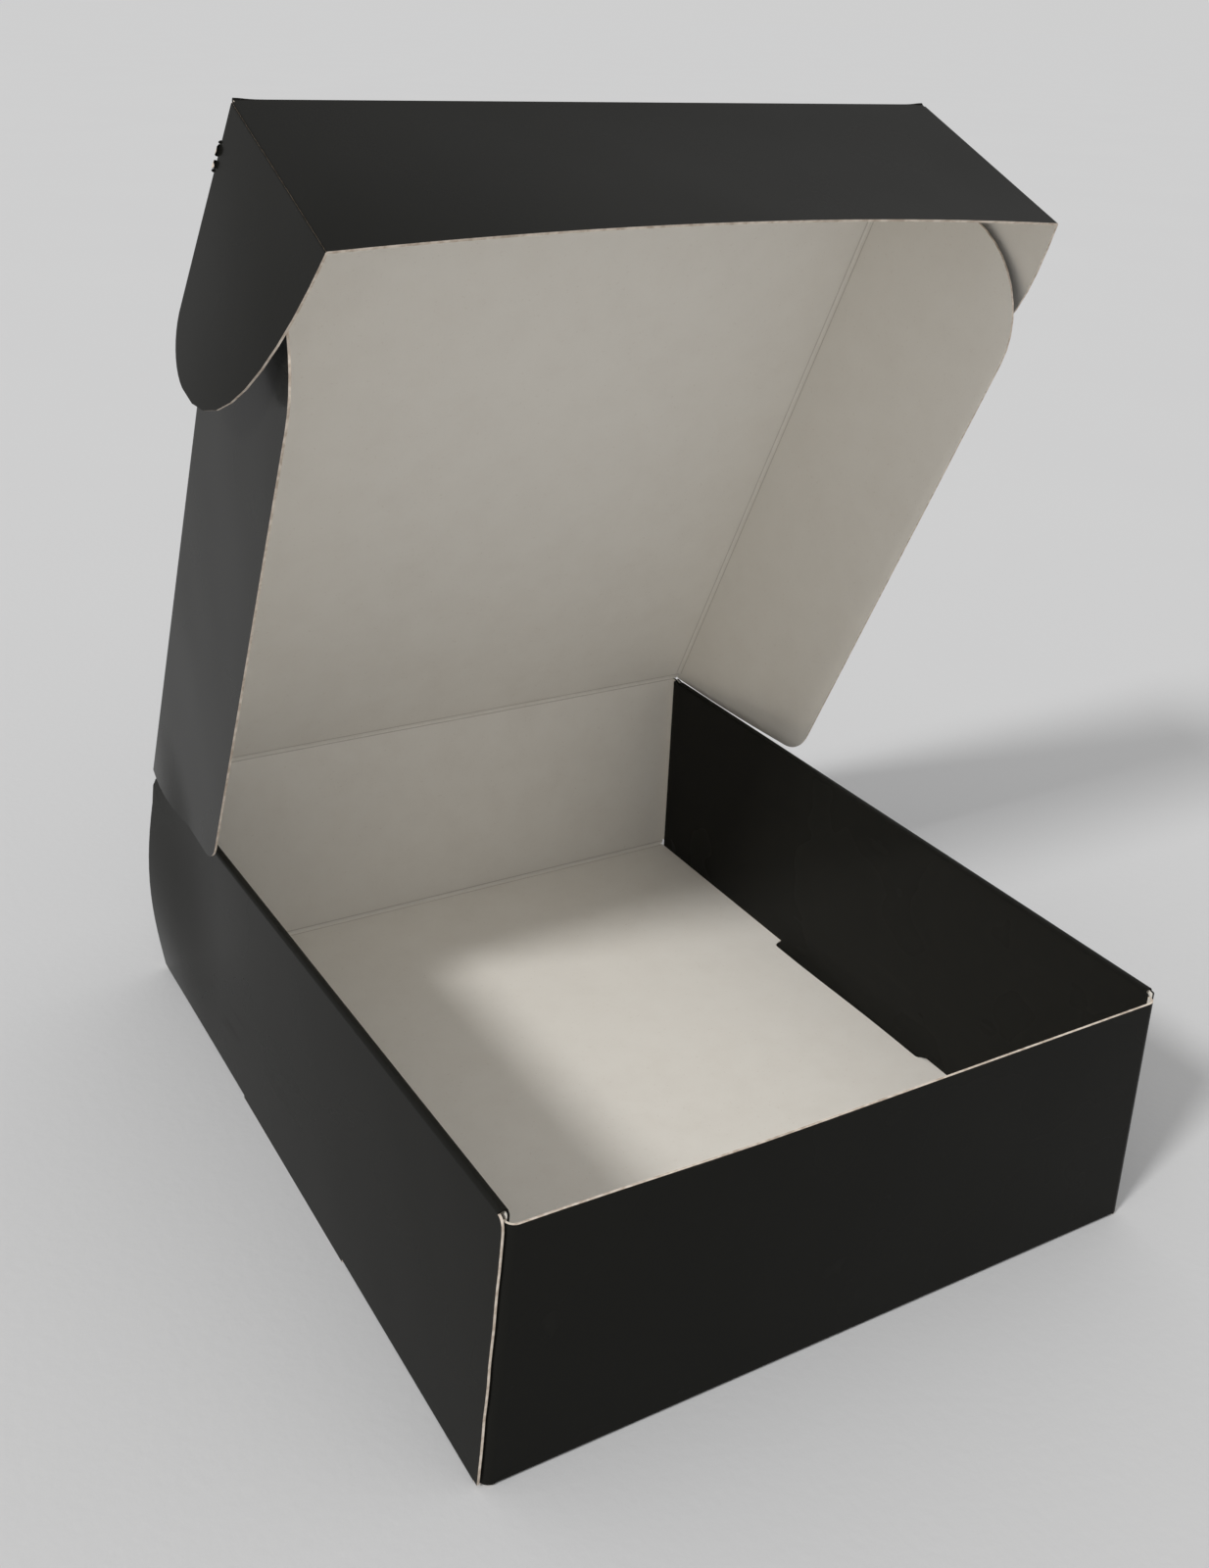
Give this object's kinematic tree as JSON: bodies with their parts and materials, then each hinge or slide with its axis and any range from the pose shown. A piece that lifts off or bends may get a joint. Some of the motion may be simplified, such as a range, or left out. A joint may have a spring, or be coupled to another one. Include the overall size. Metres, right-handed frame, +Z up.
{
  "type": "cardboard mailer box",
  "caption": "Roll-end mailer box folded from one sheet of board, with a hinged lid, side wings, a front flap and two rounded ears.",
  "frame": {"origin": "middle of the tray floor's underside", "axes": "+Z up, +X to the right along the front wall, -Y towards the front wall, lid hinged at +Y"},
  "size_m": [0.2942, 0.299, 0.359],
  "materials": {
    "tray_board": "black gloss laminate outside, white uncoated board inside",
    "lid_board": "black gloss laminate outside, white uncoated board inside"
  },
  "bodies": {
    "tray": {"tray": "tray_board"},
    "lid": {"lid": "lid_board"},
    "front_flap": {"front_flap": "lid_board"},
    "ear_left": {"ear_left": "lid_board"},
    "ear_right": {"ear_right": "lid_board"}
  },
  "joints": [
    {"name": "lid_hinge", "type": "hinge", "parent": "tray", "child": "lid", "pos_m": [0, 0.1491, 0.0898], "axis": [-1, 0, 0], "range_deg": [-64, 116]},
    {"name": "flap_hinge", "type": "hinge", "parent": "lid", "child": "front_flap", "pos_m": [0, 0.01767, 0.35836], "axis": [-1, 0, 0], "range_deg": [-2, 88]},
    {"name": "ear_left_hinge", "type": "hinge", "parent": "front_flap", "child": "ear_left", "pos_m": [-0.1266, 0.01767, 0.35836], "axis": [0, 0.9135, 0.4067], "range_deg": [-1, 80.68]},
    {"name": "ear_right_hinge", "type": "hinge", "parent": "front_flap", "child": "ear_right", "pos_m": [0.1266, 0.01767, 0.35836], "axis": [0, -0.9135, -0.4067], "range_deg": [-1, 71.38]}
  ]
}
